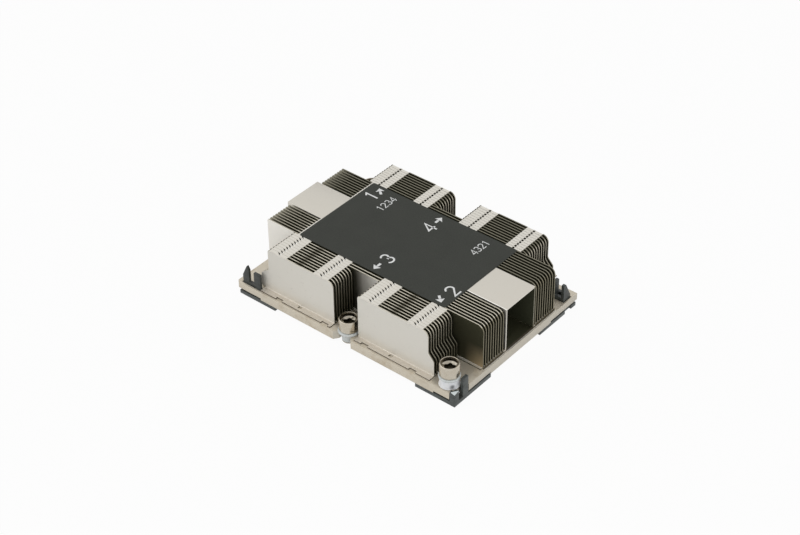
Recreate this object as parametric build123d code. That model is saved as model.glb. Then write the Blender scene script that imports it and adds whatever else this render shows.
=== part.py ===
"""Passive low-profile heat sink for a server processor, in millimetres, +Z up.

A plated base plate carries a hollow centre duct and, on each side of it, a stack of sheet fins
that lock into each other at the top. Four captive nuts turn in nylon bushes on the plate, and a
plastic carrier for the processor clips on underneath. The origin is at the middle of the plate's
outline, level with the carrier's underside. Front is -Y, the right-hand end is +X.
"""
import os

from build123d import *

# Processor carrier
carrier_thickness = 1.6
window_length = 74.0
window_width = 54.0
rail_width = 3.6
end_rail_width = 9.0
lip_depth = 1.2
lip_thickness = 0.6
carrier_fit = 0.35
front_pad_inset = 3.1
front_pad_length = 18.0
corner_pad_length = 18.0
corner_pad_width = 21.2
side_pad_inset = 12.1
side_pad_length = 15.9
corner_foot_length = 3.5
corner_foot_width = 3.0
latch_root = 1.0

# Base plate
plate_length = 107.0
plate_width = 79.0
plate_thickness = 3.7
plate_chamfer = 0.7
left_cut_depth = 1.9
left_cut_length = 17.9
rear_cut_depth = 4.5
rear_cut_length = 9.9
rear_cut_slant = 4.8
corner_step = 0.85
thin_corner_length = 9.7
long_thin_corner_length = 13.8
thin_corner_width = 21.2
contact_pad_length = 68.0
contact_pad_width = 48.0
contact_pad_height = 0.3

# Centre duct
duct_sheet = 0.5
duct_end_inset = 0.9

# Fins
fin_thickness = 0.4
fin_pitch = 1.44
fin_height = 19.1
fins_per_side = 19
notched_fins = 8
short_fins = 2
fin_edge_gap = 3.5
outer_flange_reach = 2.7
outer_flange_inset = 13.3
full_fin_inset_left = 2.3
full_fin_inset_right = 1.3
left_foot_inset = 11.7
left_top_inset = 15.7
right_foot_inset = 12.1
right_top_inset = 14.7
bend_bottom = 6.2
bend_top = 10.1
left_corner_cut = 0.9
right_corner_radius = 2.7
notch_width = 11.6
notch_x = 0.3
tab_offset = 0.5
left_tab_width = 7.9
right_tab_width = 7.0

# Label
label_end_inset = 18.7
label_side_overlap = 0.1
label_thickness = 0.12

# Captive nuts and bushes
post_gap = 0.15
nut_inset = 4.3
middle_nut_x = 0.9
nut_radius = 3.75
nut_height = 5.0
stem_radius = 2.3
turning_clearance = 0.05
thread_radius = 1.65
thread_depth = 5.4
recess_radius = 2.1
lobe_reach = 0.6
lobe_width = 1.2
recess_depth = 2.6
foot_overhang = 0.45
foot_height = 0.45
collar_radius = 4.05
high_collar_height = 4.6
low_collar_height = 0.95
neck_wall = 0.45
neck_fit = 0.03
corner_neck_length = 2.4
middle_neck_length = 3.8
slot_mouth = 8.6
slot_flare = 2.0

# Latches of the carrier
prong_height = 6.7
prong_tip = 1.6
prong_lean = 0.7
latch_web_height = 1.3
front_latch_inset = 4.1
front_latch_length = 8.9
front_latch_gap = 0.2
front_prong_width = 3.2
front_prong_depth = 1.15
post_length = 1.5
post_width = 2.5
post_front_length = 2.3
post_front_width = 1.1
post_low_height = 0.2
post_height = 0.9
post_slope = 20.0
edge_prong_start = 4.9
edge_prong_width = 3.0
edge_prong_depth = 1.3
edge_prong_height = 4.4
side_latch_inset = 7.9
side_latch_width = 4.2
side_latch_length = 6.4
side_latch_edge = 0.9
side_prong_depth = 1.3
side_prong_height = 7.4
inner_prong_width = 2.7

# Places that follow from the sizes above
half_length = plate_length / 2
half_width = plate_width / 2
plate_bottom = carrier_thickness
plate_top = plate_bottom + plate_thickness
fin_top = plate_top + fin_height
first_fin_y = -half_width + fin_edge_gap
duct_half_width = half_width - fin_edge_gap - fins_per_side * fin_pitch
fin_gap = fin_pitch - fin_thickness
left_foot_x = -half_length + left_foot_inset
left_top_x = -half_length + left_top_inset
right_foot_x = half_length - right_foot_inset
right_top_x = half_length - right_top_inset
outer_flange_x = -half_length + outer_flange_inset
notch_left_x = notch_x - notch_width / 2
notch_right_x = notch_x + notch_width / 2
corner_nut_x = half_length - post_length - post_gap - collar_radius
nut_y = half_width - nut_inset
bush_bore = stem_radius + turning_clearance
neck_half = bush_bore + neck_wall
front_latch_x = -half_length + front_latch_inset
front_latch_back = first_fin_y - fin_gap - front_latch_gap


def block(x0, x1, y0, y1, z0, z1):
    """A box between two corners."""
    size = Box(x1 - x0, y1 - y0, z1 - z0, align=(Align.MIN, Align.MIN, Align.MIN))
    return Pos(x0, y0, z0) * size


def post(x, y, radius, z0, z1):
    """A round bar that stands on the point x, y between two heights."""
    bar = Cylinder(radius, z1 - z0, align=(Align.CENTER, Align.CENTER, Align.MIN))
    return Pos(x, y, z0) * bar


def turned(shape):
    """The shape turned half a turn about the upright middle axis."""
    return Rot(0, 0, 180) * shape


def fin_end(low_x, high_x):
    """The corner points of one end of a fin from the plate up, as seen in the XZ plane.

    An end whose top overhangs its bottom leans over between the two bend heights.
    """
    if low_x == high_x:
        return [(low_x, plate_top)]
    low = (low_x, plate_top + bend_bottom)
    high = (high_x, plate_top + bend_top)
    return [(low_x, plate_top), low, high]


def fin_web(left_low, left_high, right_low, right_high):
    """The flat sheet of one fin, in the XZ plane, with its thickness behind the plane.

    The low values are the ends near the plate and the high ones those under the top edge. The
    top corner is cut at the left and round at the right.
    """
    left_cut = (left_high + left_corner_cut, fin_top)
    left_end = (left_high, fin_top - left_corner_cut)
    right_end = (right_high, fin_top - right_corner_radius)
    right_cut = (right_high - right_corner_radius, fin_top)
    left = reversed(fin_end(left_low, left_high))
    right = fin_end(right_low, right_high)
    edges = [
        Polyline(right_cut, left_cut, left_end, *left, *right, right_end),
        TangentArc(right_end, right_cut, tangent=(0, 1)),
    ]
    return extrude(Plane.XZ * make_face(edges), amount=-fin_thickness)


def tab_bands():
    """The low and high ends of the four bands of top tabs, two on each side of the middle notch."""
    bands = []
    for left_x, right_x in ((left_top_x, notch_left_x), (notch_right_x, right_top_x)):
        low = left_x + left_corner_cut + tab_offset
        high = right_x - right_corner_radius
        bands.append((low, low + left_tab_width))
        bands.append((high - right_tab_width, high))
    return bands


def fin_segment(left_low, left_high, right_low, right_high, bands):
    """One folded fin at y 0: web, bottom flange towards -Y and top tabs towards +Y.

    It has a tab at each of the bands that lies within its top edge.
    """
    fin = fin_web(left_low, left_high, right_low, right_high)
    fin += block(left_low, right_low, -fin_gap, fin_thickness, plate_top, plate_top + fin_thickness)
    for low, high in bands:
        if left_high < low and high < right_high:
            fin += block(low, high, 0, fin_pitch, fin_top - fin_thickness, fin_top)
    return fin


def outer_flange(low_x, high_x):
    """The wide bottom flange of the outermost fin between two ends, for a fin at y 0."""
    return block(low_x, high_x, -outer_flange_reach, 0, plate_top, plate_top + fin_thickness)


def fin_row(index):
    """The solids of the fin that is index places in from the front edge, in its place.

    The outer fins are cut through in the middle, the next ones are whole, and the inner ones reach
    the ends of the duct. Under the label the inner ones have only their first tab. The outermost
    one has a wider bottom flange that starts behind the latch.
    """
    bands = tab_bands()
    if index < notched_fins:
        pieces = [
            fin_segment(left_foot_x, left_top_x, notch_left_x, notch_left_x, bands),
            fin_segment(notch_right_x, notch_right_x, right_foot_x, right_top_x, bands),
        ]
        if index == 0:
            pieces[0] += outer_flange(outer_flange_x, notch_left_x)
            pieces[1] += outer_flange(notch_right_x, right_foot_x)
    elif index < notched_fins + short_fins:
        pieces = [fin_segment(left_foot_x, left_top_x, right_foot_x, right_top_x, bands)]
    else:
        left = -half_length + full_fin_inset_left
        right = half_length - full_fin_inset_right
        pieces = [fin_segment(left, left, right, right, bands[:1])]
    return [Pos(0, first_fin_y + index * fin_pitch, 0) * piece for piece in pieces]


def centre_duct():
    """A hollow channel along X: flat top, two walls and two feet turned outwards."""
    end = half_length - duct_end_inset
    wall = duct_half_width - duct_sheet
    shell = block(-end, end, -duct_half_width, duct_half_width, plate_top, fin_top)
    shell -= block(-end, end, -wall, wall, plate_top, fin_top - duct_sheet)
    foot = duct_half_width + fin_gap
    for side in (-1, 1):
        low = min(side * wall, side * foot)
        high = max(side * wall, side * foot)
        shell += block(-end, end, low, high, plate_top, plate_top + fin_thickness)
    return shell


def neck_hole(x, y):
    """The square hole in the plate that keeps a bush's neck from turning."""
    half = neck_half + neck_fit
    return block(x - half, x + half, y - half, y + half, 0, fin_top)


def nut_slot():
    """The open slot in the front edge of the plate that takes a middle bush's neck."""
    half = neck_half + neck_fit
    mouth = slot_mouth / 2
    corners = [
        (middle_nut_x - half, -nut_y + half),
        (middle_nut_x - half, -half_width + slot_flare),
        (middle_nut_x - mouth, -half_width),
        (middle_nut_x + mouth, -half_width),
        (middle_nut_x + half, -half_width + slot_flare),
        (middle_nut_x + half, -nut_y + half),
    ]
    return extrude(make_face(Polyline(*corners, close=True)), amount=fin_top)


def front_latch_hole():
    """The hole behind the front edge of the plate for the left-hand latch."""
    x0 = front_latch_x - carrier_fit
    x1 = front_latch_x + front_latch_length + carrier_fit
    y0 = front_latch_back - front_prong_depth - carrier_fit
    return block(x0, x1, y0, front_latch_back + front_latch_gap, 0, fin_top)


def corner_notch():
    """The notch at the front right corner of the plate for the corner post and its prong."""
    x0 = half_length - post_length - 2 * carrier_fit
    y1 = -half_width + edge_prong_start + edge_prong_width + carrier_fit
    notch = block(x0, half_length + 1, -half_width - 1, y1, 0, fin_top)
    front_x0 = half_length - post_front_length - carrier_fit / 2
    front_y1 = -half_width + post_front_width + carrier_fit
    return notch + block(front_x0, half_length + 1, -half_width - 1, front_y1, 0, fin_top)


def side_latch_hole():
    """The hole beside the right edge of the plate for the rear right latch."""
    x0 = half_length - side_latch_length - carrier_fit
    x1 = half_length - side_latch_edge + carrier_fit
    y1 = half_width - side_latch_inset + carrier_fit
    y0 = y1 - side_latch_width - 2 * carrier_fit
    return block(x0, x1, y0, y1, 0, fin_top)


def plate_outline():
    """The plate's outline as a face: cut back at the front left and at the rear right corner."""
    left = -half_length + left_cut_depth
    cut_x = half_length - rear_cut_length
    cut_y = half_width - rear_cut_depth
    corners = [
        (left + plate_chamfer, -half_width),
        (half_length, -half_width),
        (half_length, cut_y),
        (cut_x, cut_y),
        (cut_x - rear_cut_slant, half_width),
        (-half_length, half_width),
        (-half_length, -half_width + left_cut_length + left_cut_depth),
        (left, -half_width + left_cut_length),
        (left, -half_width + plate_chamfer),
    ]
    return make_face(Polyline(*corners, close=True))


def corner_relief(length):
    """The space under the front right corner of the plate that makes the corner thinner."""
    x0 = half_length - length
    y1 = -half_width + thin_corner_width
    return block(x0, half_length + 1, -half_width - 1, y1, 0, plate_bottom + corner_step)


def base_plate():
    """The plate, thinner at its corners, with its nut holes, slots and latch openings.

    Its underside has a low flat pad that rests on the processor.
    """
    plate = Pos(0, 0, plate_bottom) * extrude(plate_outline(), amount=plate_thickness)
    left_relief = mirror(corner_relief(long_thin_corner_length), about=Plane.YZ)
    cuts = [
        corner_relief(thin_corner_length),
        left_relief,
        neck_hole(corner_nut_x, -nut_y),
        nut_slot(),
        corner_notch(),
    ]
    for cut in cuts:
        plate -= cut
        plate -= turned(cut)
    plate -= front_latch_hole()
    plate -= side_latch_hole()
    x = contact_pad_length / 2
    y = contact_pad_width / 2
    return plate + block(-x, x, -y, y, plate_bottom - contact_pad_height, plate_bottom)


def driver_socket(top):
    """The six-lobe socket: a round core and three straight slots across it."""
    low = top - recess_depth
    reach = recess_radius + lobe_reach
    core = extrude(Pos(0, 0, low) * RegularPolygon(recess_radius, 6), amount=recess_depth)
    for index in range(3):
        slot = block(-reach, reach, -lobe_width / 2, lobe_width / 2, low, top)
        core += Rot(0, 0, 30 + 60 * index) * slot
    return core


def nut(x, y, collar_height, neck_length):
    """A captive nut: round head with a six-lobe socket, hollow stem and a foot under the bush."""
    head_bottom = plate_top + collar_height + turning_clearance
    head_top = head_bottom + nut_height
    foot_top = plate_top - neck_length - turning_clearance
    foot_bottom = foot_top - foot_height
    body = post(0, 0, nut_radius, head_bottom, head_top)
    body += post(0, 0, stem_radius, foot_top, head_bottom)
    foot = RegularPolygon(stem_radius + foot_overhang, 6)
    body += extrude(Pos(0, 0, foot_bottom) * foot, amount=foot_height)
    body -= post(0, 0, thread_radius, foot_bottom, foot_bottom + thread_depth)
    body -= driver_socket(head_top)
    return Pos(x, y, 0) * body


def bush(x, y, collar_height, neck_length):
    """A nylon bush: round collar on the plate, square neck through it, bore for the nut's stem."""
    neck_bottom = plate_top - neck_length
    body = post(0, 0, collar_radius, plate_top, plate_top + collar_height)
    body += block(-neck_half, neck_half, -neck_half, neck_half, neck_bottom, plate_top)
    body -= post(0, 0, bush_bore, neck_bottom, plate_top + collar_height)
    return Pos(x, y, 0) * body


def carrier_pads():
    """The flat pads around the frame; each shows as a strip along the plate's edge."""
    inner_x = window_length / 2
    inner_y = window_width / 2
    x0 = -half_length + front_pad_inset
    y0 = -half_width
    thick = carrier_thickness
    side_y = half_width - side_pad_inset
    corner = block(half_length - corner_pad_length, half_length, y0, y0 + corner_pad_width, 0, thick)
    return [
        block(x0, x0 + front_pad_length, y0, -inner_y, 0, thick),
        corner,
        turned(corner),
        block(inner_x, half_length, side_y - side_pad_length, side_y, 0, thick),
    ]


def carrier_frame():
    """The carrier's flat frame with its pads, its window and two lips that the package rests on."""
    inner_x = window_length / 2
    inner_y = window_width / 2
    outer_x = inner_x + end_rail_width
    outer_y = inner_y + rail_width
    frame = block(-outer_x, outer_x, -outer_y, outer_y, 0, carrier_thickness)
    for pad in carrier_pads():
        frame += pad
    frame -= block(-inner_x, inner_x, -inner_y, inner_y, 0, carrier_thickness)
    lip = block(inner_x - lip_depth, inner_x, -inner_y / 2, inner_y / 2, 0, lip_thickness)
    return frame + lip + turned(lip)


def front_latch():
    """Two prongs on one strip, a slanted one on the left and a square one on the right."""
    x0 = front_latch_x
    x1 = x0 + front_latch_length
    y1 = front_latch_back
    y0 = y1 - front_prong_depth
    top = plate_top + prong_height
    corners = [
        (x0, 0),
        (x0 + front_prong_width, 0),
        (x0 + front_prong_width, top),
        (x0 + front_prong_width * prong_lean, top + prong_tip),
        (x0, top - 2 * prong_tip),
    ]
    profile = make_face(Polyline(*corners, close=True))
    latch = Pos(0, y0, 0) * extrude(Plane.XZ * profile, amount=-front_prong_depth)
    latch += block(x1 - front_prong_width, x1, y0, y1, 0, top)
    latch += block(x0, x1, y0, y1, 0, plate_top + latch_web_height)
    return latch


def corner_post():
    """The post that wraps the front right corner, with a prong beside it on the right edge.

    The post's top rises from the corner inwards.
    """
    x1 = half_length
    y0 = -half_width
    top = plate_top + post_height
    wrap = block(x1 - post_length, x1, y0, y0 + post_width, 0, top)
    wrap += block(x1 - post_front_length, x1, y0, y0 + post_front_width, 0, top)
    above = block(-post_width, post_width, -post_width, 2 * post_width, 0, 2 * post_height)
    wrap -= Pos(x1, y0, plate_top + post_low_height) * Rot(0, 0, 45) * Rot(post_slope, 0, 0) * above
    prong_y = y0 + edge_prong_start
    prong_top = plate_top + edge_prong_height
    prong_x = x1 - edge_prong_depth
    wrap += block(prong_x, x1, prong_y, prong_y + edge_prong_width, 0, prong_top)
    return wrap


def side_latch():
    """The latch beside the right edge: a ring through the plate with a tall prong at each end.

    Its root reaches into the side pad.
    """
    x1 = half_length - side_latch_edge
    x0 = half_length - side_latch_length
    y1 = half_width - side_latch_inset
    y0 = y1 - side_latch_width
    web_top = plate_top + latch_web_height
    top = plate_top + side_prong_height
    pad_end = half_width - side_pad_inset
    latch = block(x0, x1, y0, y1, 0, web_top)
    latch += block(x0, x1, pad_end - latch_root, y1, 0, carrier_thickness)
    wall = side_prong_depth
    latch -= block(x0 + wall, x1 - wall, y0 + wall, y1 - wall, carrier_thickness, web_top)
    corners = [
        (y0, 0),
        (y1, 0),
        (y1, web_top),
        (y0 + side_latch_width * (1 - prong_lean), top),
        (y0, top),
    ]
    profile = make_face(Polyline(*corners, close=True))
    outer = extrude(Plane.YZ * profile, amount=side_prong_depth)
    latch += Pos(x1 - side_prong_depth, 0, 0) * outer
    latch += block(x0, x0 + wall, y0, y0 + inner_prong_width, 0, top)
    return latch


def stud_room():
    """The hole in the carrier under the front right nut, for the stud that it goes onto."""
    x = corner_nut_x
    y = -nut_y
    half = neck_half + carrier_fit
    return block(x - half, x + half, y - half, y + half, 0, carrier_thickness)


def corner_foot():
    """The small foot under the rear right corner, with a neck that reaches into the side latch."""
    x0 = half_length - corner_foot_length
    y1 = half_width - rear_cut_depth - plate_chamfer
    foot = block(x0, half_length, y1 - corner_foot_width, y1, 0, carrier_thickness)
    neck_x1 = half_length - side_latch_edge
    neck_y0 = half_width - side_latch_inset - latch_root
    return foot + block(x0, neck_x1, neck_y0, y1, 0, carrier_thickness)


def carrier():
    """The whole plastic carrier: ring, corner pads with their strips, feet and latches."""
    body = carrier_frame()
    body -= stud_room()
    body -= turned(stud_room())
    body += corner_foot()
    body += front_latch()
    body += side_latch()
    body += corner_post()
    body += turned(corner_post())
    return body


def label():
    """The thin printed label on top of the middle fins and the duct."""
    x = half_length - label_end_inset
    y = label_side_overlap - first_fin_y - (notched_fins + short_fins) * fin_pitch
    return block(-x, x, -y, y, fin_top, fin_top + label_thickness)


def save(name, solids):
    """Writes one node, which may hold several separate solids."""
    shape = solids[0] if len(solids) == 1 else Compound(children=solids)
    shape.label = name
    export_step(shape, os.path.join("parts", name + ".step"))


def main():
    """Builds and writes every node."""
    os.makedirs("parts", exist_ok=True)
    save("base_plate", [base_plate()])
    save("centre_duct", [centre_duct()])
    save("top_label", [label()])
    save("processor_carrier", [carrier()])
    for index in range(fins_per_side):
        front = fin_row(index)
        rear = [mirror(piece, about=Plane.XZ) for piece in front]
        save(f"fin_front_{index + 1:02d}", front)
        save(f"fin_rear_{index + 1:02d}", rear)
    middle_sizes = (low_collar_height, middle_neck_length)
    places = {
        "front_right": (corner_nut_x, -nut_y, high_collar_height, corner_neck_length),
        "rear_left": (-corner_nut_x, nut_y, low_collar_height, corner_neck_length),
        "front_middle": (middle_nut_x, -nut_y, *middle_sizes),
        "rear_middle": (-middle_nut_x, nut_y, *middle_sizes),
    }
    for name, place in places.items():
        save(f"nut_{name}", [nut(*place)])
        save(f"bush_{name}", [bush(*place)])


main()
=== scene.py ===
"""Passive low-profile heat sink for a server processor, dressed over its CAD frame.

Lengths are millimetres in the frame's axes (+X to the right-hand end, +Y to the rear, +Z up) until
a mesh is made, which is in metres. A sheet is worked out as its middle surface on a grid and then
gets its thickness, a turned piece is a profile of radius and height carried round an axis, and a
printed mark is a flat strip carried along its stroke.
"""
from collections import namedtuple

import bmesh
import bpy
import numpy as np
from mathutils import Matrix, Vector


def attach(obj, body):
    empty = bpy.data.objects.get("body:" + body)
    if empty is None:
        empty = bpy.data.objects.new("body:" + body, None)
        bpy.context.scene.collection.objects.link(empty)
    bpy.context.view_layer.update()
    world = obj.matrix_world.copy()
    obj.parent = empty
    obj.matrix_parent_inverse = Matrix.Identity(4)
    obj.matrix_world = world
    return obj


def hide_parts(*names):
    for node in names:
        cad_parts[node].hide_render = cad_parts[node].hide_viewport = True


MM = 0.001

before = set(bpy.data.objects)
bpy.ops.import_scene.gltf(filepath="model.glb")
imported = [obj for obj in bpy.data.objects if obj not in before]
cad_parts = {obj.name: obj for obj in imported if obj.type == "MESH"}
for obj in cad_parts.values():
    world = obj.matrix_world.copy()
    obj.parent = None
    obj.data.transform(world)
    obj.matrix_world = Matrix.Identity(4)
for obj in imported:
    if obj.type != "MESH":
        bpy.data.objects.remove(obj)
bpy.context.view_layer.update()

# Sizes of the frame's own solids
plate_top = 5.3
plate_end_x = 53.5
fin_top = 24.4
fin_thickness = 0.4
fin_pitch = 1.44
fins_per_side = 19
notched_fins = 8
whole_short_fins = 2
first_full_fin = notched_fins + whole_short_fins
first_fin_y = -36.0
outer_foot_reach = 2.7
left_foot_x, left_top_x = -41.8, -37.8
right_foot_x, right_top_x = 41.4, 38.8
notch_left_x, notch_right_x = -5.5, 6.1
full_left_x, full_right_x = -51.2, 52.2
left_corner = 0.9
right_corner = 2.7
duct_inside_y = 8.2
duct_end_x = 52.6

# The bands of tabs along the fins' top edges, and the middle of the split in each. Beside the label
# the full fins have only the first band, which starts further in.
tab_bands = ((-36.85, -28.5), (-15.2, -8.2), (7.05, 15.4), (29.1, 36.1))
tab_splits = (-32.45, -11.75, 11.7, 32.45)
full_band_start = -35.35
# Halfway between the bands on each side of the middle, where the front rows have a painted dark
# reflection
dark_band_middles = (-22.6, 22.3)

# x and y of each nut, the height of its bush's body on the plate and the depth of its neck below
nut_places = {
    "front_right": (47.8, -35.2, 4.6, 2.4),
    "rear_left": (-47.8, 35.2, 0.95, 2.4),
    "front_middle": (0.9, -35.2, 0.95, 3.8),
    "rear_middle": (-0.9, 35.2, 0.95, 3.8),
}


# Finishes

class Wire:
    """A socket of a material's nodes; arithmetic on it adds Math nodes."""

    def __init__(self, tree, socket=None):
        self.tree = tree
        self.socket = socket

    def node(self, kind, settings=None, inputs=None, out=0):
        """Adds a node with its settings, then the values or links of its sockets."""
        node = self.tree.nodes.new(kind)
        for name, value in (settings or {}).items():
            if name == "stops":
                while len(node.color_ramp.elements) < len(value):
                    node.color_ramp.elements.new(0.5)
                for element, (place, shade) in zip(node.color_ramp.elements, value):
                    element.position = place
                    element.color = (shade, shade, shade, 1)
            else:
                setattr(node, name, value)
        for name, value in (inputs or {}).items():
            if isinstance(value, Wire):
                self.tree.links.new(value.socket, node.inputs[name])
            else:
                node.inputs[name].default_value = value
        return Wire(self.tree, node.outputs[out]) if node.outputs else None

    def math(self, operation, first, second=0.0):
        """One Math node on one or two values."""
        return self.node("ShaderNodeMath", {"operation": operation}, {0: first, 1: second})

    def __add__(self, other):
        return self.math("ADD", self, other)

    def __radd__(self, other):
        return self.math("ADD", other, self)

    def __sub__(self, other):
        return self.math("SUBTRACT", self, other)

    def __rsub__(self, other):
        return self.math("SUBTRACT", other, self)

    def __mul__(self, other):
        return self.math("MULTIPLY", self, other)

    def __rmul__(self, other):
        return self.math("MULTIPLY", other, self)

    def __truediv__(self, other):
        return self.math("DIVIDE", self, other)

    def __rtruediv__(self, other):
        return self.math("DIVIDE", other, self)

    def mix(self, low, high):
        """A colour between two others, by this mask."""
        settings = {"data_type": "RGBA", "clamp_factor": True}
        return self.node("ShaderNodeMix", settings, {0: self, 6: low, 7: high}, out=2)

    def ramp(self, *stops):
        """This value through a ramp of grey stops."""
        return self.node("ShaderNodeValToRGB", {"stops": stops}, {0: self})

    def slope(self, start, end):
        """0 up to the start, 1 from the end on, and a straight rise between them."""
        return ((self - start) / (end - start)).ramp((0, 0), (1, 1))

    def above(self, level):
        """1 where this value is over the level, else 0."""
        return self.math("GREATER_THAN", self, level)

    def below(self, level):
        """1 where this value is under the level, else 0."""
        return self.math("LESS_THAN", self, level)

    def between(self, low, high):
        """1 where this value lies between low and high, else 0."""
        return self.above(low) * self.below(high)

    def size(self):
        """This value without its sign."""
        return self.math("ABSOLUTE", self)

    def fraction(self):
        """What this value has beyond its whole number."""
        return self.math("FRACT", self)

    def sine(self):
        """The sine of this value in radians."""
        return self.math("SINE", self)

    def least(self, other):
        """The lesser of this value and another."""
        return self.math("MINIMUM", self, other)

    def most(self, other):
        """The greater of this value and another."""
        return self.math("MAXIMUM", self, other)

    def scaled(self, x, y, z):
        """This place stretched by a factor along each axis."""
        return self.node("ShaderNodeVectorMath", {"operation": "MULTIPLY"}, {0: self, 1: (x, y, z)})

    def in_mm(self):
        """This place, which is in metres, in millimetres."""
        return self.scaled(1 / MM, 1 / MM, 1 / MM)

    def distance(self, x, y, z):
        """How far this place is from the point x, y, z."""
        settings = {"operation": "DISTANCE"}
        return self.node("ShaderNodeVectorMath", settings, {0: self, 1: (x, y, z)}, out=1)

    def noise(self, scale, detail=3.0, roughness=0.5):
        """Cloudy noise at this place, as a value."""
        inputs = {"Vector": self, "Scale": scale, "Detail": detail, "Roughness": roughness}
        return self.node("ShaderNodeTexNoise", None, inputs)

    def axes(self):
        """This place as its three separate values."""
        node = self.tree.nodes.new("ShaderNodeSeparateXYZ")
        self.tree.links.new(self.socket, node.inputs[0])
        return [Wire(self.tree, output) for output in node.outputs]

    def facing(self):
        """The way in which the surface faces, as its three separate values."""
        return self.node("ShaderNodeNewGeometry", out=1).axes()


# A spot of a surface: its place in millimetres, its depth, which is how far it lies from the upright
# plane through the duct's middle, and the way in which it faces
Spot = namedtuple("Spot", ["x", "y", "z", "depth", "face_x", "face_y", "face_z"])


def spot_at(place):
    """The spot of a surface at a place."""
    x, y, z = place.in_mm().axes()
    return Spot(x, y, z, y.size(), *place.facing())


def colour(red, green, blue):
    """A colour given by its 0 to 255 picture values, as linear light."""
    values = np.array([red, green, blue]) / 255
    linear = np.where(values <= 0.04045, values / 12.92, ((values + 0.055) / 1.055) ** 2.4)
    return (*linear.tolist(), 1.0)


def cleared(owner):
    """Empties the nodes of a material or a world, and gives a wire to start from."""
    owner.use_nodes = True
    owner.node_tree.nodes.clear()
    return Wire(owner.node_tree)


def finish(name, shape):
    """A material. shape gets the place on the object and gives the shader's sockets and a bump."""
    material = bpy.data.materials.new(name)
    start = cleared(material)
    sockets, height, strength = shape(start.node("ShaderNodeTexCoord", out=3))
    bump = {"Strength": strength, "Distance": 0.2 * MM, "Height": height}
    sockets["Normal"] = start.node("ShaderNodeBump", None, bump)
    shader = start.node("ShaderNodeBsdfPrincipled", None, sockets)
    start.node("ShaderNodeOutputMaterial", None, {"Surface": shader})
    return material


def paint(sockets, mask, shade):
    """Lays a colour over the base colour, as strongly as the mask says."""
    sockets["Base Color"] = mask.mix(sockets["Base Color"], shade)


def nickel(place, tone, grain_axis, rough):
    """Nickel on sheet: rolled grain along one axis, faint clouds, a few dark spots, and a warmer cast
    that fades upwards from the plate, which on the sheets above it is a painted warm reflection of the
    plate."""
    stretch = [2500.0, 2500.0, 2500.0]
    stretch["xyz".index(grain_axis)] = 60.0
    grain = place.scaled(*stretch).noise(1.0, 2.0)
    clouds = place.noise(90.0, 4.0)
    spots = place.noise(900.0, 2.0).ramp((0.66, 0), (0.74, 1))
    z = place.in_mm().axes()[2]
    # Painted reflection: warmer low down near the plate and fading upwards, with some random warmth from
    # the clouds
    low = 1 - (z - plate_top) / 4.0
    warm = low.most(0.0) * 0.3 + clouds * 0.12
    shade = warm.mix(tone, colour(206, 197, 180))
    shade = (spots * 0.12).mix(shade, colour(150, 142, 128))
    roughness = rough + grain * 0.1 + clouds * 0.08
    return {"Base Color": shade, "Metallic": 1.0, "Roughness": roughness}, grain + clouds, 0.12


# A face is square to an axis when more than this part of its direction lies along it
square_on = 0.7
# Beyond the first depth lie the notched fins and the first whole one, and beyond the second all the
# tabs but those of the full fins
short_fins_depth = 24.0
tabs_depth = 21.8


def fin_face(spot, index):
    """1 on the outer face of the fin that is index places in from its edge, else 0."""
    face = -first_fin_y - index * fin_pitch
    return spot.depth.between(face - 0.1, face + 0.05)


def cut_end_painted_light(spot):
    """The cut ends of the sheets, their colour all painted light and shade: dark near the plate and
    paler upwards, evenly dim at the right-hand ends of the full fins, and bright where the outer fins
    lean out at the left."""
    rise = spot.z.slope(plate_top + 1.9, fin_top - 0.95)
    shade = rise.mix(colour(112, 108, 90), colour(182, 176, 160))
    full_end = spot.x.above(full_right_x - right_corner - 0.1)
    shade = full_end.mix(shade, colour(136, 130, 110))
    leaning = spot.x.below(left_top_x + left_corner - 0.1) * spot.depth.above(short_fins_depth)
    return leaning.mix(shade, colour(216, 211, 198))


def inner_wall_painted_shade(spot):
    """The walls inside the stack, dull with painted shade: a painted warm glow low down at the
    right-hand end of the first full fin, painted paler towards the full fins' left-hand ends, and
    painted bright where the outer fins lean out."""
    glow = spot.x.slope(43.9, 52.0) * spot.z.slope(15.0, 6.0) * fin_face(spot, first_full_fin)
    shade = glow.mix(colour(68, 67, 50), colour(190, 172, 140))
    shade = spot.x.slope(-44.0, -51.5).mix(shade, colour(172, 168, 152))
    leaning = spot.x.slope(-37.2, -39.2) * spot.depth.above(short_fins_depth)
    return leaning.mix(shade, colour(226, 220, 206))


def paint_top_edges(sockets, spot):
    """The sheets' top edges: painted shade between the tabs, most of all in the rear rows, with painted
    shade as a brown seam along each front tab's fold and a painted highlight on a lip beside its split."""
    crest = spot.face_z.above(square_on) * spot.z.above(fin_top - 0.9)
    tabs = spot.x.between(full_band_start - 0.15, tab_bands[0][1] + 0.05)
    for low, high in tab_bands:
        tabs = tabs.most(spot.x.between(low - 0.05, high + 0.05) * spot.depth.above(tabs_depth))
    # Painted shade on the top edges between the tabs, darker on the rear rows and at the front rows'
    # left end
    shade = spot.y.above(0.0).mix(colour(204, 198, 182), colour(134, 130, 114))
    front_corner = spot.x.below(tab_bands[0][0] - 0.05) * spot.y.below(0.0)
    shade = front_corner.mix(shade, colour(172, 166, 150))
    paint(sockets, crest * (1 - tabs), shade)
    front_tabs = crest * tabs * spot.y.below(-tabs_depth)
    step = ((spot.y - first_fin_y) / fin_pitch).fraction()
    # Painted shade in the crease along each front tab's fold
    paint(sockets, front_tabs * step.slope(0.24, 0.1) * 0.34, colour(140, 126, 102))
    # Painted highlight on the lip beside each split
    beside = [spot.x.between(split + 0.16, split + 0.64) for split in tab_splits]
    lips = beside[0].most(beside[1]).most(beside[2]).most(beside[3])
    lips = front_tabs * lips * step.between(0.3, 0.8)
    paint(sockets, lips * 0.75, colour(255, 255, 252))


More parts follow.
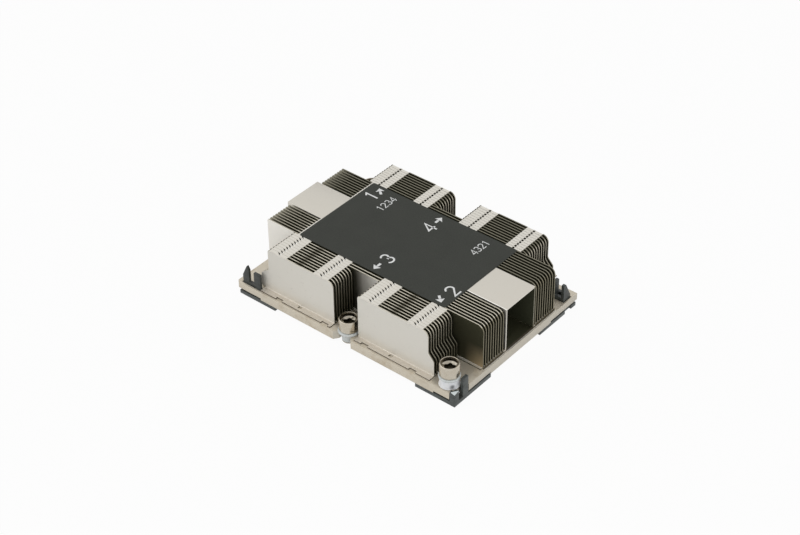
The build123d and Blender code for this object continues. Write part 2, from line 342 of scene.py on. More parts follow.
def fin_metal(place):
    """Fin sheet: dull with painted shade inside the stack and satin outside it, with painted light and
    shade on its cut ends and top edges, its outer feet toned by where they lie, a painted dark
    reflection across the front rows halfway between the tabs, and a painted shadow as a brown line round
    the outermost foot."""
    sockets, height, strength = nickel(place, colour(220, 217, 209), "x", 0.5)
    spot = spot_at(place)
    web = spot.face_y.size().above(square_on)
    stacked = web * spot.depth.below(-first_fin_y - 0.15)
    left_face = spot.x.below(left_top_x + 0.2) * fin_face(spot, first_full_fin)
    notch = spot.x.between(notch_left_x - 0.1, notch_right_x + 0.1) * fin_face(spot, notched_fins)
    # The notch face keeps the painted shade at its left, fading out towards its right
    lit_notch = notch * (spot.x.slope(-4.6, -1.2) * 0.9 + 0.1)
    # Painted light and shade on the sheets' cut ends
    paint(sockets, spot.face_x.size().above(0.35), cut_end_painted_light(spot))
    # Painted shade on the walls inside the stack
    paint(sockets, stacked * (1 - left_face.most(lit_notch)), inner_wall_painted_shade(spot))
    # Painted light: the first full fin's face left of the lean, in the recess, made paler
    paint(sockets, left_face * web, colour(246, 243, 236))
    paint_top_edges(sockets, spot)
    outer_foot = spot.depth.above(-first_fin_y + 0.05)
    paint(sockets, outer_foot * spot.face_z.above(square_on) * spot.z.below(6.0), colour(217, 210, 199))
    # Painted dark reflection across the front rows' top edges halfway between the tabs
    left_middle, right_middle = dark_band_middles
    from_middle = (spot.x - left_middle).size().least((spot.x - right_middle).size())
    front_tops = spot.y.between(first_fin_y + 0.1, 0.0) * spot.z.above(fin_top - 0.5)
    paint(sockets, from_middle.slope(2.4, 0.0) * front_tops * 0.7, colour(92, 86, 68))
    # Painted shadow: a thin dark line on the outermost foot's edges where they meet the plate
    tip = spot.depth.above(-first_fin_y + 1.6) * spot.face_z.size().below(0.6)
    paint(sockets, tip * spot.z.below(5.72) * 0.85, colour(70, 52, 32))
    sockets["Roughness"] = sockets["Roughness"] - notch * 0.22
    sockets["Metallic"] = 0.8 - web * (1 - stacked).most(left_face) * 0.3
    return sockets, height, strength


def plate_metal(place):
    """Plate: satin nickel over copper alloy, a little warm, with fine pits and wiped stains. It has
    painted shade, a cooler tone, on its right-hand side face and painted shade under the duct, and along
    the full fins' right-hand ends a painted shadow strip and a painted highlight strip."""
    sockets, height, strength = nickel(place, colour(206, 198, 182), "y", 0.42)
    spot = spot_at(place)
    pits = place.noise(1600.0, 1.0).ramp((0.3, 0), (0.36, 1))
    stain = place.noise(160.0, 5.0, 0.65).ramp((0.52, 0), (0.72, 1))
    paint(sockets, stain * 0.5, colour(170, 152, 124))
    # Painted shade on the plate's right-hand side face
    paint(sockets, spot.face_x.above(square_on), colour(194, 188, 175))
    top = spot.z.above(plate_top - 0.1)
    under_duct = spot.depth.below(duct_inside_y) * spot.x.size().below(duct_end_x - 0.2)
    # Painted shade on the plate's top under the duct
    paint(sockets, top * under_duct, colour(76, 76, 56))
    beside_fins = top * spot.depth.below(tabs_depth) * spot.x.below(plate_end_x - 0.2)
    # Painted shadow along the full fins' right-hand ends, then a painted highlight strip out to the
    # plate's edge
    paint(sockets, beside_fins * spot.x.above(full_right_x - 0.2), colour(112, 104, 88))
    paint(sockets, beside_fins * spot.x.above(full_right_x + 0.65), colour(238, 233, 222))
    sockets["Roughness"] = sockets["Roughness"] + stain * 0.08
    sockets["Metallic"] = 0.65
    return sockets, height + pits * 0.8, 0.16


def duct_metal(place):
    """Duct sheet: dull with painted shade inside, painted shade on the rear wall's cut ends, and a
    painted highlight along the front fold of its top at the right."""
    sockets, height, strength = nickel(place, colour(204, 200, 191), "y", 0.34)
    spot = spot_at(place)
    inside = spot.depth.below(duct_inside_y) * spot.x.size().below(duct_end_x - 0.1)
    inside = inside * spot.z.below(fin_top - 0.45)
    # Painted shade inside the duct
    paint(sockets, inside, colour(62, 64, 46))
    rear_end = spot.face_x.size().above(square_on) * spot.y.above(7.9)
    # Painted shade on the rear wall's cut ends
    paint(sockets, rear_end, colour(128, 124, 108))
    fold = spot.face_y.below(-0.2) * spot.z.above(fin_top - 0.3) * spot.x.above(30.0)
    # Painted highlight along the front fold of the duct's top
    paint(sockets, fold, colour(255, 253, 246))
    sockets["Roughness"] = sockets["Roughness"] + inside * 0.3
    sockets["Metallic"] = 1 - inside * 0.6
    return sockets, height, strength


def nut_metal(place):
    """Turned nickel-plated steel: fine rings, as a sine of the height, and painted shade where it is
    hollow.
    """
    rings = (place.axes()[2] * 9000.0).sine()
    clouds = place.noise(500.0, 3.0)
    shade = clouds.mix(colour(206, 200, 188), colour(184, 174, 156))
    shade = (rings * 0.12 + 0.12).mix(shade, colour(150, 140, 122))
    hollow = place.node("ShaderNodeAttribute", {"attribute_name": "hollow"}, out=2)
    # Painted shade in the nut's hollows
    shade = hollow.mix(shade, colour(46, 42, 30))
    roughness = 0.2 + clouds * 0.12 - hollow * 0.1
    return {"Base Color": shade, "Metallic": 1.0, "Roughness": roughness}, rings * 0.3 + clouds, 0.1


def nylon(place):
    """Milky nylon with a faint moulded mottle, clearer in the corner bushes, with a painted contact
    shadow as a dim rim on the plate, a greyer line under the tall bush's nut and painted shade in a
    small notch low on its right side."""
    mottle = place.noise(700.0, 3.0)
    x, _, z = place.in_mm().axes()
    sockets = {
        "Base Color": mottle.mix(colour(198, 203, 202), colour(220, 224, 223)),
        "Roughness": 0.22 + mottle * 0.15,
        "Subsurface Weight": 0.25,
        "Subsurface Radius": (1.0, 0.95, 0.9),
        "Subsurface Scale": 1.5 * MM,
    }
    corner_bush = z.between(plate_top - 0.1, 8.8) * x.size().above(30.0)
    paint(sockets, corner_bush, mottle.mix(colour(226, 228, 231), colour(246, 247, 250)))
    paint(sockets, z.between(8.75, 9.1) * 0.6, colour(140, 150, 146))
    # Painted shade in the small notch low on the tall bush's right side
    notch = place.in_mm().distance(50.9, -37.4, 6.7).slope(1.2, 0.36)
    paint(sockets, notch * 0.8, colour(112, 114, 118))
    # Painted contact shadow round the bush's foot on the plate
    paint(sockets, z.between(plate_top - 0.1, plate_top + 0.2) * 0.5, colour(146, 126, 100))
    return sockets, mottle, 0.12


def slate_plastic(place):
    """Glass-filled dark plastic: fine moulded texture and paler flow marks. The corner post's top has a
    painted highlight on a whitish facet, and the rear right and front left latches have painted shade."""
    texture = place.noise(2600.0, 2.0)
    flow = place.scaled(1.0, 1.0, 3.0).noise(220.0, 3.0).ramp((0.35, 0), (0.75, 1))
    spot = spot_at(place)
    sockets = {
        "Base Color": flow.mix(colour(56, 60, 58), colour(84, 89, 87)),
        "Roughness": 0.4 + texture * 0.14,
    }
    # Painted highlight on the corner post's top facet
    post_top = spot.face_z.above(0.8) * spot.z.between(plate_top + 0.05, 6.6)
    facet = spot.x.above(51.7) * (spot.x * 1.4 - spot.y).above(111.6)
    paint(sockets, post_top * facet, colour(222, 230, 230))
    # Painted shade on the rear right and front left latches
    rear_latch = spot.x.above(44.0) * spot.y.between(28.0, 36.4) * spot.z.above(5.6)
    front_latch = spot.x.below(-40.0) * spot.y.below(-30.0) * spot.z.above(5.5)
    paint(sockets, rear_latch.most(front_latch) * 0.55, colour(30, 31, 26))
    return sockets, texture + flow * 0.5, 0.25


def label_film(place):
    """Charcoal ink on film: fine dots, soft clouds and a few faint scuffs."""
    dots = place.noise(2200.0, 1.0)
    clouds = place.noise(120.0, 4.0)
    scuffs = place.scaled(1.0, 6.0, 1.0).noise(260.0, 5.0, 0.7).ramp((0.66, 0), (0.78, 1))
    shade = (dots * 0.8 + clouds * 0.3).mix(colour(34, 36, 32), colour(66, 68, 62))
    shade = (scuffs * 0.15).mix(shade, colour(104, 104, 98))
    roughness = 0.55 + dots * 0.15
    sockets = {"Base Color": shade, "Roughness": roughness, "Specular IOR Level": 0.25}
    return sockets, dots, 0.15


def white_ink(place):
    """White print, a little thin in places."""
    thin = place.noise(1500.0, 3.0).ramp((0.55, 0), (0.85, 1))
    shade = thin.mix(colour(236, 237, 236), colour(190, 192, 190))
    return {"Base Color": shade, "Roughness": 0.5 + thin * 0.1}, thin, 0.1


fin_finish = finish("nickel_fin_sheet", fin_metal)
plate_finish = finish("nickel_plate", plate_metal)
duct_finish = finish("nickel_duct_sheet", duct_metal)
nut_finish = finish("turned_nut", nut_metal)
bush_finish = finish("milky_nylon", nylon)
carrier_finish = finish("slate_plastic", slate_plastic)
label_finish = finish("charcoal_label", label_film)
ink_finish = finish("white_print", white_ink)


# Meshes

def grid_and_mask(patch):
    """A patch's grid of points and its mask of the cells to keep, which is None for all of them."""
    return patch if isinstance(patch, tuple) else (patch, None)


def quads(rows, columns, closed=False):
    """The corner numbers of every cell of a grid; a closed one joins its last column to its first."""
    number = np.arange(rows * columns).reshape(rows, columns)
    if closed:
        number = np.concatenate([number, number[:, :1]], axis=1)
    cells = [number[:-1, :-1], number[:-1, 1:], number[1:, 1:], number[1:, :-1]]
    return np.stack(cells, axis=-1).reshape(-1, 4)


def piece_of(name, patches, material, closed=False, outward=True):
    """One object from grids of points; points that meet are joined.

    A patch is a grid, or a grid and a mask of the cells to keep.
    """
    points, faces, count = [], [], 0
    for patch in patches:
        grid, keep = grid_and_mask(patch)
        cells = quads(grid.shape[0], grid.shape[1], closed)
        if keep is not None:
            cells = cells[keep.reshape(-1)]
        faces.append(cells + count)
        points.append(grid.reshape(-1, 3))
        count += grid.shape[0] * grid.shape[1]
    mesh = bpy.data.meshes.new(name)
    mesh.from_pydata((np.concatenate(points) * MM).tolist(), [], np.concatenate(faces).tolist())
    shell = bmesh.new()
    shell.from_mesh(mesh)
    bmesh.ops.remove_doubles(shell, verts=shell.verts, dist=0.002 * MM)
    loose = [vertex for vertex in shell.verts if not vertex.link_faces]
    bmesh.ops.delete(shell, geom=loose, context="VERTS")
    if outward:
        bmesh.ops.recalc_face_normals(shell, faces=shell.faces)
    shell.to_mesh(mesh)
    shell.free()
    mesh.materials.append(material)
    return in_scene(name, mesh)


def in_scene(name, data):
    """A new object with its data, in the scene."""
    thing = bpy.data.objects.new(name, data)
    bpy.context.scene.collection.objects.link(thing)
    return thing


def settle(piece, angle):
    """Applies the piece's modifiers, turns its faces outwards and keeps edges over angle sharp."""
    bpy.context.view_layer.update()
    graph = bpy.context.evaluated_depsgraph_get()
    mesh = bpy.data.meshes.new_from_object(piece.evaluated_get(graph), depsgraph=graph)
    piece.modifiers.clear()
    shell = bmesh.new()
    shell.from_mesh(mesh)
    bmesh.ops.recalc_face_normals(shell, faces=shell.faces)
    shell.to_mesh(mesh)
    shell.free()
    mesh.shade_smooth()
    mesh.set_sharp_from_angle(angle=np.radians(angle))
    piece.data = mesh
    return piece


def softened(node, name, width, material):
    """A copy of a CAD node, its flat faces made whole again, with its corners rounded by width."""
    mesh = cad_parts[node].data.copy()
    mesh.name = name
    shell = bmesh.new()
    shell.from_mesh(mesh)
    bmesh.ops.remove_doubles(shell, verts=shell.verts, dist=0.001 * MM)
    nearly_flat = np.radians(0.5)
    bmesh.ops.dissolve_limit(shell, angle_limit=nearly_flat, verts=shell.verts, edges=shell.edges)
    shell.to_mesh(mesh)
    shell.free()
    mesh.materials.clear()
    mesh.materials.append(material)
    piece = in_scene(name, mesh)
    rounding = piece.modifiers.new("rounding", "BEVEL")
    rounding.width = width * MM
    rounding.segments = 2
    rounding.limit_method = "ANGLE"
    rounding.angle_limit = np.radians(30)
    return settle(piece, 32)


def on_heat_sink(piece, slot, *nodes):
    """The piece rides on the heat sink's body and stands for the nodes, which are hidden; slot is not
    used.
    """
    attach(piece, "heat_sink")
    if nodes:
        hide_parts(*nodes)
    return piece


# Fins: sizes along the sheet's middle surface

foot_fold = 0.45
tab_fold = 0.12
web_middle = fin_thickness / 2
web_low = plate_top + web_middle + foot_fold
web_high = fin_top - web_middle - tab_fold
lean_low, lean_high = 11.5, 15.4
lean_blend = 0.55

# y of a tab: where its fold is over and its sides start to draw back, where that ends, and its tip
tab_flat, tab_drawn, tab_end = 0.5, 0.65, 1.56
# The splits of the front rows' tabs are shut at the fold and open to a slant; the rear rows' are
# square. Each has half its width at the fold, its shift, the width it opens by and its slant.
front_split = (0.01, 0.45, 0.42, -1.4)
rear_split = (0.46, 0.0, 0.0, 0.0)

# How far out the foot's flat part starts, and where the outermost foot's wider part starts
foot_start, foot_step = 0.55, 1.75
# x of the openings in the outermost foot: the long ones in its wider part, the short ones behind it
long_openings = ((-32.5, -29.3), (-10.0, -6.8), (9.3, 12.5), (31.8, 35.0))
short_openings = ((-22.4, -20.9), (21.6, 23.1))
# The outermost front foot starts behind the carrier's latch
behind_latch_x = -40.2

# Heights of the web's rows, close together where it leans and where its top corner turns, and
# above them the heights up to its top edge
corner_turn = np.linspace(0, np.arcsin((web_high - fin_top + right_corner) / right_corner), 6)
corner_rows = fin_top - right_corner + right_corner * np.sin(corner_turn)
web_rows = np.concatenate([[web_low, 9.0], np.linspace(10.8, 16.2, 17), [19.0], corner_rows, [23.5]])
web_rows = np.unique(np.round(web_rows, 5))
crest_rows = np.array([web_high, 24.16, 24.24, 24.32, 24.38, fin_top])


def lean(z):
    """How far an end has leant over at height z, from 0 to 1: a straight ramp whose two bends are
    parabolas, which is the ramp averaged over a short window."""
    span = lean_high - lean_low - 2 * lean_blend

    def area(t):
        held = np.clip(t, 0, 1)
        return held * held / 2 + np.maximum(t - 1, 0)

    centre = (z - lean_low - lean_blend) / span
    window = lean_blend / span
    return (area(centre + window) - area(centre - window)) / (2 * window)


def drawn_in(z, corner):
    """How far the top corner's quarter circle lies in from the end at height z: its radius less the
    root of the radius squared minus the rise into it squared."""
    rise = np.clip(z - (fin_top - corner), 0, corner)
    return corner - np.sqrt(corner**2 - rise**2)


def left_edge(foot, top, z):
    """x of the left end at height z: from the foot's x to the top's by the lean, then the corner."""
    return foot + (top - foot) * lean(z) + drawn_in(z, left_corner)


def right_edge(foot, top, z):
    """x of the right end at height z: as at the left, with its own, larger corner."""
    return foot + (top - foot) * lean(z) - drawn_in(z, right_corner)


def spread(z, left, right, stations):
    """Rows of x at heights z: from the left edge to the first station in even steps, then the
    stations, then in even steps to the right edge."""
    z = np.asarray(z, float)[:, None]
    steps = np.linspace(0, 1, 4)
    start = left_edge(*left, z)
    end = right_edge(*right, z)
    first = start + (stations[0] - start) * steps[None, :-1]
    last = stations[-1] + (end - stations[-1]) * steps[None, 1:]
    middle = np.repeat(np.asarray(stations, float)[None, :], len(z), axis=0)
    return np.concatenate([first, middle, last], axis=1)


def rise_rows(x, y, z):
    """A grid from rows of x with one y and one z for each row."""
    shape = x.shape
    y = np.broadcast_to(np.asarray(y, float)[:, None], shape)
    z = np.broadcast_to(np.asarray(z, float)[:, None], shape)
    return np.stack([x, y, z], axis=-1)


def web_grid(heights, left, right, stations):
    """The web's upright middle surface at some heights."""
    x = spread(heights, left, right, stations)
    return rise_rows(x, np.full(len(heights), web_middle), heights)


def tab_patch(low, high, open_low, open_high, slant):
    """One half tab: the web's top folded over in a quarter circle towards +Y, then flat.

    Past the fold a side draws back by its opening, and then slants: its x moves by the slant per
    millimetre of reach.
    """
    turn = np.linspace(0, np.pi / 2, 5)
    y = np.append(web_middle + tab_fold * (1 - np.cos(turn)), [tab_flat, tab_drawn, 1.1, tab_end])
    z = np.append(web_high + tab_fold * np.sin(turn), [fin_top - web_middle] * 4)
    reach = np.maximum(y - tab_flat, 0)[:, None]
    opened = np.clip(reach / (tab_drawn - tab_flat), 0, 1)
    share = np.linspace(0, 1, 4)[None, :]
    side_low = low + opened * open_low + (slant * reach if open_low else 0)
    side_high = high - opened * open_high + (slant * reach if open_high else 0)
    return rise_rows(side_low * (1 - share) + side_high * share, y, z)


def flange_patch(left, right, reach, cuts):
    """The foot of a fin: flat from its tip, then a quarter circle up into the web.

    cuts are (low x, high x, near reach, far reach) areas left open in it.
    """
    turn = np.linspace(0, np.pi / 2, 5)
    stepped = [-foot_step] if reach > foot_step else []
    level = [-reach, *stepped, -foot_start]
    y = np.append(level, web_middle - foot_fold * (1 - np.sin(turn)))
    z = np.append([plate_top + web_middle] * len(level), web_low - foot_fold * np.cos(turn))
    edges = [left, right] + [edge for cut in cuts for edge in cut[:2]]
    x = np.unique(np.concatenate([np.linspace(left, right, 9), edges]))
    grid = rise_rows(np.repeat(x[None, :], len(y), axis=0), y, z)
    centre = (grid[:-1, :-1] + grid[1:, 1:]) / 2
    keep = np.ones(centre.shape[:2], bool)
    for low, high, near, far in cuts:
        across = (centre[..., 0] > low) & (centre[..., 0] < high)
        keep &= ~(across & (-centre[..., 1] > near) & (-centre[..., 1] < far))
    return grid, keep


def web_stations(left, right, bands):
    """x of the web's upright lines: the bands' edges, one more near a left end that is far from
    them, and the start of the right end's corner."""
    stations = [edge for band in bands for edge in band]
    corner_start = right[1] - right_corner
    if stations[0] - left[1] > 5.0:
        stations.insert(0, left[1] + 1.4)
    if abs(stations[-1] - corner_start) > 0.01:
        stations.append(corner_start)
    return stations


def fin_patches(left, right, bands, split, reach, cuts, flange_left):
    """The patches of one fin with its web's front face at y 0.

    left and right are each end's foot and top. bands are (low, split low, split high, high)
    places along the top edge, where two half tabs fold over with the split between them.
    """
    opening, slant = split[2:]
    stations = web_stations(left, right, bands)
    patches = [web_grid(web_rows, left, right, stations)]
    crest = web_grid(crest_rows, left, right, stations)
    columns = (crest[0, :-1, 0] + crest[0, 1:, 0]) / 2
    open_top = np.ones(len(columns), bool)
    for low, split_low, split_high, high in bands:
        open_top &= ~((columns > low) & (columns < split_low))
        open_top &= ~((columns > split_high) & (columns < high))
        patches.append(tab_patch(low, split_low, 0, opening, slant))
        patches.append(tab_patch(split_high, high, opening, 0, slant))
    patches.append((crest, np.repeat(open_top[None, :], len(crest_rows) - 1, axis=0)))
    patches.append(flange_patch(flange_left, right[0], reach, cuts))
    return patches


def band_places(index, split):
    """The bands of one fin, with the two sides of the split in each."""
    half, shift = split[:2]
    edges = [list(edge) for edge in tab_bands]
    if index >= first_full_fin:
        edges[0][0] = full_band_start
    return [
        (low, centre - half + shift, centre + half + shift, high)
        for centre, (low, high) in zip(tab_splits, edges)
    ]


def foot_cuts(side):
    """The openings in the outermost foot to the left (-1) or to the right (1) of the notch."""
    beyond = outer_foot_reach + 1
    long_cuts = [(*ends, foot_step, beyond) for ends in long_openings if ends[0] * side > 0]
    short_cuts = [(*ends, foot_start, foot_step) for ends in short_openings if ends[0] * side > 0]
    return long_cuts + short_cuts


def fin(index, front):
    """The fin that is index places in from the front or rear edge."""
    split = front_split if front else rear_split
    bands = band_places(index, split)
    outermost = index == 0
    reach = outer_foot_reach if outermost else fin_pitch - fin_thickness
    left_end, right_end = (left_foot_x, left_top_x), (right_foot_x, right_top_x)
    if index < notched_fins:
        left_cuts, right_cuts = (foot_cuts(-1), foot_cuts(1)) if outermost else ([], [])
        foot_left = behind_latch_x if outermost and front else left_foot_x
        notch_left, notch_right = (notch_left_x,) * 2, (notch_right_x,) * 2
        patches = fin_patches(left_end, notch_left, bands[:2], split, reach, left_cuts, foot_left)
        patches += fin_patches(
            notch_right, right_end, bands[2:], split, reach, right_cuts, notch_right_x
        )
    elif index < first_full_fin:
        patches = fin_patches(left_end, right_end, bands, split, reach, [], left_foot_x)
    else:
        left_end, right_end = (full_left_x,) * 2, (full_right_x,) * 2
        patches = fin_patches(left_end, right_end, bands[:1], split, reach, [], full_left_x)
    side = "front" if front else "rear"
    direction = np.array([1, 1 if front else -1, 1])
    shift = np.array([0, first_fin_y + index * fin_pitch, 0])
    placed = []
    for patch in patches:
        grid, keep = grid_and_mask(patch)
        placed.append(((grid + shift) * direction, keep))
    name = f"fin_{side}_{index + 1:02d}"
    piece = piece_of(f"sheet_{name}", placed, fin_finish, outward=False)
    wall = piece.modifiers.new("wall", "SOLIDIFY")
    wall.thickness = fin_thickness * MM
    wall.offset = 0
    wall.use_even_offset = True
    return on_heat_sink(settle(piece, 40), "fin", name)


for row in range(fins_per_side):
    fin(row, True)
    fin(row, False)


# Plate, duct and carrier

plate = softened("base_plate", "plate_of_heat_sink", 0.22, plate_finish)
on_heat_sink(plate, "plate", "base_plate")
duct = softened("centre_duct", "duct_of_sheet", 0.16, duct_finish)
on_heat_sink(duct, "fin", "centre_duct")
carrier = softened("processor_carrier", "carrier_moulding", 0.14, carrier_finish)
on_heat_sink(carrier, "carrier", "processor_carrier")


# Nuts and bushes

nut_height = 5.0
nut_foot = 0.5
turning_gap = 0.05
thread_pitch = 0.7
thread_length = 5.4
# Angles once round a turned piece
circle = np.linspace(0, 2 * np.pi, 96, endpoint=False)


def turned_grid(x, y, rings):
    """A profile carried round an upright axis at x, y: each ring is a radius, or a radius for each
    angle, and a height. A radius of 0 closes the end to a point."""
    radii = np.stack([np.broadcast_to(radius, circle.shape) for radius, _ in rings])
    heights = np.stack([np.broadcast_to(height, circle.shape) for _, height in rings])
    across = x + radii * np.cos(circle)
    along = y + radii * np.sin(circle)
    return np.stack([across, along, heights], axis=-1)


def thread_rings(low):
    """The thread above a height: a core radius plus a triangle wave of the height in pitches less
    the share of a turn, so that the crests wind upwards."""
    rings = []
    for height in np.linspace(low + thread_length - 0.2, low + 0.4, 52):
        turn = (height / thread_pitch - circle / (2 * np.pi)) % 1
        rings.append((1.66 + 0.34 * np.abs(2 * turn - 1), height))
    return rings


def mark_hollow_shade(piece, x, y, low, top):
    """Gives each point of a nut's head a value for how much painted shade it takes by how hollow it
    lies: a little inside the rim, more in the cup and most in the socket below it."""
    corners = np.empty(len(piece.data.vertices) * 3)
    piece.data.vertices.foreach_get("co", corners)
    across, along, height = corners.reshape(-1, 3).T / MM
    inside = (np.hypot(across - x, along - y) < 3.3) & (height > low)
    cup = inside & (height < top - 0.2) & (height > top - 1.72)
    socket = inside & (height < top - 2.15)
    hollow = 0.3 * inside + 0.15 * cup + 0.6 * socket
    mark = piece.data.attributes.new("hollow", "FLOAT", "POINT")
    mark.data.foreach_set("value", hollow.astype(np.float32))


def nut(name, x, y, collar, neck):
    """A captive nut, as one profile: thread from its blind end down, foot, stem, head, the cup in
    its top and the six-lobe socket, whose radius is a mean plus a cosine six times round."""
    low = plate_top - neck - nut_foot
    head_low = plate_top + collar + turning_gap
    top = head_low + nut_height
    lobes = 2.1 + 0.27 * np.cos(6 * circle)
    blind_end = [(0, low + thread_length), (1.62, low + thread_length), (1.65, low + 5.3)]
    foot = [(1.95, low + 0.25), (2.1, low), (2.6, low), (2.72, low + 0.1), (2.72, low + 0.4)]
    stem = [(2.3, low + 0.45), (2.3, head_low - turning_gap)]
    head = [(3.45, head_low), (3.7, head_low + 0.12), (3.75, head_low + 0.3)]
    head += [(3.75, top - 0.4), (3.68, top - 0.12)]
    rim = [(3.5, top), (3.34, top), (3.26, top - 0.08), (3.2, top - 0.3)]
    cup = [(3.08, top - 1.7), (3.0, top - 1.78), (lobes + 0.1, top - 2.1)]
    socket = [(lobes, top - 2.18), (lobes, top - 3.1), (0, top - 3.3)]
    rings = blind_end + thread_rings(low) + foot + stem + head + rim + cup + socket
    piece = piece_of(f"turned_nut_{name}", [turned_grid(x, y, rings)], nut_finish, closed=True)
    settle(piece, 28)
    mark_hollow_shade(piece, x, y, head_low, top)
    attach(piece, f"nut_{name}")
    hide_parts(f"nut_{name}")


def bush(name, x, y, collar, neck):
    """A nylon bush, as one closed profile: bore, neck below the plate's top, body and top ring. A tall
    one has a waist, and a dent in its foot that is a bell curve of the angle."""
    low = plate_top - neck
    top = plate_top + collar
    tall = collar > 2
    body = 3.72 if tall else 4.0
    dent = 0.3 * np.exp(-(((circle - np.radians(320)) / 0.12) ** 2)) if tall else 0.0
    square_neck = [(2.36, low), (2.62, low), (2.78, low + 0.15), (2.78, plate_top - 0.02)]
    foot = [(body + 0.18 - dent, plate_top + 0.01), (body + 0.25 - dent, plate_top + 0.2)]
    waist = []
    if tall:
        waist = [(body + 0.05 - dent, plate_top + 0.65), (body, plate_top + 0.95)]
        waist += [(body, top - 1.15), (body + 0.25, top - 1.0), (body + 0.32, top - 0.9)]
    ring = [(4.04, top - 0.22), (3.94, top - 0.02), (3.82, top), (2.36, top), (2.36, low)]
    grid = turned_grid(x, y, square_neck + foot + waist + ring)
    piece = piece_of(f"nylon_bush_{name}", [grid], bush_finish, closed=True)
    on_heat_sink(settle(piece, 30), "bush", f"bush_{name}")


for place_name, place_sizes in nut_places.items():
    nut(place_name, *place_sizes)
    bush(place_name, *place_sizes)


# Label and its print

label_half_x, label_half_y = 34.8, 21.7
label_low, label_top = fin_top, 24.52
label_corner = 0.9
ink_low, ink_high = label_top - 0.02, label_top + 0.015
numeral_width, numeral_height = 3.7, 6.0


def rounded_outline(half_x, half_y, radius, steps=7):
    """The outline of a rectangle whose corners are quarter circles, once round."""
    turn = np.linspace(0, np.pi / 2, steps)
    points = []
    for quarter, (side_x, side_y) in enumerate(((1, 1), (-1, 1), (-1, -1), (1, -1))):
        around = turn + quarter * np.pi / 2
        points.append(np.stack([
            side_x * (half_x - radius) + radius * np.cos(around),
            side_y * (half_y - radius) + radius * np.sin(around),
        ], axis=-1))
    return np.concatenate(points)


def slab(outline, low, high, edge=0.02):
    """Rings that close a flat slab over an outline: bottom centre, bottom, side, rolled top edge
    and top centre, each ring the outline drawn in towards its middle."""
    middle = outline.mean(axis=0)
    inward = outline - middle
    length = np.linalg.norm(inward, axis=-1, keepdims=True)
    drawn = middle + inward * (1 - edge / length)
    levels = [
        (np.broadcast_to(middle, outline.shape), low),
        (drawn, low), (outline, low + edge), (outline, high - edge), (drawn, high),
        (np.broadcast_to(middle, outline.shape), high),
    ]
    rings = [np.column_stack([ring, np.full(len(ring), height)]) for ring, height in levels]
    return np.stack(rings)


label_slab = slab(rounded_outline(label_half_x, label_half_y, label_corner), label_low, label_top)
label = piece_of("printed_label", [label_slab], label_finish, closed=True)
on_heat_sink(settle(label, 30), "label", "top_label")


def arc(centre_x, centre_y, radius_x, radius_y, start, end, steps=16):
    """Points along part of an ellipse, by angles in degrees."""
    turn = np.radians(np.linspace(start, end, steps))
    return np.stack([centre_x + radius_x * np.cos(turn), centre_y + radius_y * np.sin(turn)], axis=-1)


def strokes(numeral):
    """The pen stroke of a numeral in a cell 3.7 wide and 6 high: straight runs and parts of ellipses."""
    if numeral == "1":
        return np.array([(0.9, 4.75), (2.1, 5.7), (2.1, 0.0)])
    if numeral == "2":
        bowl = arc(1.85, 4.1, 1.65, 1.6, 165, -20)
        return np.concatenate([bowl, [(0.25, 0.32), (3.6, 0.32)]])
    if numeral == "3":
        upper = arc(1.75, 4.3, 1.45, 1.4, 150, -80)
        lower = arc(1.75, 1.75, 1.65, 1.45, 80, -155)
        return np.concatenate([upper, lower])
    return np.array([(2.75, 0.0), (2.75, 5.7), (0.15, 1.75), (3.75, 1.75)])


def stroke_grid(path, width, low, high):
    """A flat strip carried along a path: at each point four corners, half the width to each side
    along the mitre of the two runs that meet there, low and high. Its ends are closed."""
    runs = np.diff(path, axis=0)
    runs /= np.linalg.norm(runs, axis=1, keepdims=True)
    before = np.concatenate([runs[:1], runs])
    after = np.concatenate([runs, runs[-1:]])
    across = before + after
    across /= np.linalg.norm(across, axis=1, keepdims=True)
    stretch = 1 / np.maximum((across * before).sum(axis=1), 0.5)
    side = np.stack([-across[:, 1], across[:, 0]], axis=-1) * (width / 2 * stretch)[:, None]
    corners = [(path + side, low), (path + side, high), (path - side, high), (path - side, low)]
    rows = [np.column_stack([place, np.full(len(place), height)]) for place, height in corners]
    grid = np.stack(rows, axis=1)
    first = np.repeat(grid[:1].mean(axis=1, keepdims=True), 4, axis=1)
    last = np.repeat(grid[-1:].mean(axis=1, keepdims=True), 4, axis=1)
    return np.concatenate([first, grid, last])


def numeral_print(numeral, x, y, size, weight):
    """One numeral with the middle of its cell at x, y. Its right is +Y and its top is -X."""
    path = strokes(numeral) - np.array([numeral_width, numeral_height]) / 2
    grid = stroke_grid(path, weight / size, ink_low, ink_high) * np.array([size, size, 1])
    return np.stack([x - grid[..., 1], y + grid[..., 0], grid[..., 2]], axis=-1)


def arrow_print(x, y, heading):
    """A short arrow with its middle at x, y: a shaft, and a head with swept-back barbs, turned to
    its heading in degrees."""
    outline = np.array([
        (-1.9, -0.5), (0.25, -0.5), (0.05, -1.75), (2.2, 0.0),
        (0.05, 1.75), (0.25, 0.5), (-1.9, 0.5),
    ])
    turn = np.radians(heading)
    spin = np.array([[np.cos(turn), -np.sin(turn)], [np.sin(turn), np.cos(turn)]])
    rings = slab(outline, ink_low, ink_high, 0.01)
    rings[..., :2] = rings[..., :2] @ spin.T + np.array([x, y])
    return rings


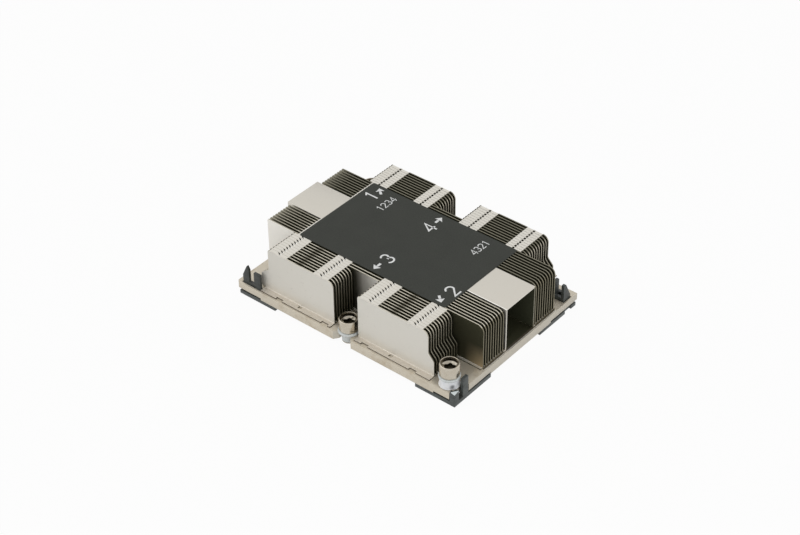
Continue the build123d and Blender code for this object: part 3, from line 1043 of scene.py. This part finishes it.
# The numeral of each nut and where it stands, its arrow's place and heading, and the two rows
nut_numerals = (("1", -29.9, 14.3), ("4", 0.35, 12.3), ("3", 0.5, -12.3), ("2", 30.9, -12.4))
nut_arrows = ((-29.0, 18.6, 140), (0.3, 18.0, 90), (0.5, -18.1, -90), (30.3, -18.7, -40))
numeral_rows = (
    ("1234", -21.9, (10.1, 12.6, 15.1, 17.6)),
    ("4321", 22.9, (10.6, 13.0, 15.4, 17.8)),
)
print_patches = [numeral_print(*numeral, size=1.0, weight=0.72) for numeral in nut_numerals]
print_patches += [arrow_print(*arrow) for arrow in nut_arrows]
for numerals, row_x, row_places in numeral_rows:
    for numeral, row_y in zip(numerals, row_places):
        print_patches.append(numeral_print(numeral, row_x, row_y, size=0.55, weight=0.36))
marks = piece_of("label_numbers", print_patches, ink_finish, closed=True)
on_heat_sink(settle(marks, 30), "label")


# Floor, light and camera

def clear_rays(start):
    """1 for what the camera sees straight, in a reflection or through glass, else 0."""
    seen = start.node("ShaderNodeLightPath", out=0)
    glossy = start.node("ShaderNodeLightPath", out=3)
    through = start.node("ShaderNodeLightPath", out=6)
    return seen.most(glossy).most(through)


def floor_shape():
    """The pale floor: a large sheet of four corners just under the carrier."""
    corner = np.array([-3000.0, 3000.0])
    across, along = np.meshgrid(corner, corner)
    return np.stack([across, along, np.full_like(across, -0.05)], axis=-1)


def floor_finish():
    """White paper that keeps the shadow and shows white to the camera and in reflections."""
    material = bpy.data.materials.new("white_paper_floor")
    start = cleared(material)
    grain = start.node("ShaderNodeTexCoord", out=3).noise(300.0, 3.0)
    shade = grain.mix(colour(236, 236, 235), colour(243, 243, 242))
    paper = start.node("ShaderNodeBsdfDiffuse", None, {"Color": shade})
    white = start.node("ShaderNodeEmission", None, {"Color": (1, 1, 1, 1), "Strength": 1.0})
    share = {0: clear_rays(start) * 0.94, 1: paper, 2: white}
    both = start.node("ShaderNodeMixShader", None, share)
    start.node("ShaderNodeOutputMaterial", None, {"Surface": both})
    return material


def light_world():
    """An even pale surround; the camera, mirrors and glass see it as white."""
    world = bpy.data.worlds.new("studio")
    start = cleared(world)
    level = 0.6 + clear_rays(start) * 0.4
    sky = start.node("ShaderNodeBackground", None, {"Color": (1, 1, 1, 1), "Strength": level})
    start.node("ShaderNodeOutputWorld", None, {"Surface": sky})
    bpy.context.scene.world = world


def lamp(name, place, power, size):
    """A square soft lamp that faces the middle of the object, its place and size in metres."""
    data = bpy.data.lights.new(name, "AREA")
    data.energy = power
    data.size = size
    spot = Vector(place)
    facing = (Vector((0, 0, 0.01)) - spot).to_track_quat("-Z", "Y")
    in_scene(name, data).matrix_world = Matrix.Translation(spot) @ facing.to_matrix().to_4x4()


def place_camera():
    """The camera where the photograph was taken from, with the focal length that fits its frame."""
    focal_pixels, picture_width = 1811.01, 800
    data = bpy.data.cameras.new("camera")
    data.sensor_fit = "HORIZONTAL"
    data.sensor_width = 36.0
    data.lens = focal_pixels / picture_width * data.sensor_width
    data.clip_start = 0.01
    data.clip_end = 20.0
    forward = Vector((-0.50813, 0.60557, -0.61245)).normalized()
    up = Vector((-0.38372, 0.47745, 0.79045))
    right = forward.cross(up).normalized()
    up = right.cross(forward)
    camera = in_scene("camera", data)
    turned_to = Matrix((right, up, -forward)).transposed().to_4x4()
    camera.matrix_world = Matrix.Translation((0.34411, -0.41473, 0.43023)) @ turned_to
    bpy.context.scene.camera = camera


floor = piece_of("studio_floor", [floor_shape()], floor_finish(), outward=False)
light_world()
lamp("key", (-0.75, -0.75, 0.7), 4.0, 1.5)
lamp("back", (0.7, 0.8, 0.5), 0.9, 0.8)
lamp("fill", (0.8, -0.3, 0.4), 1.0, 0.6)
place_camera()
bpy.context.scene.view_settings.view_transform = "Standard"
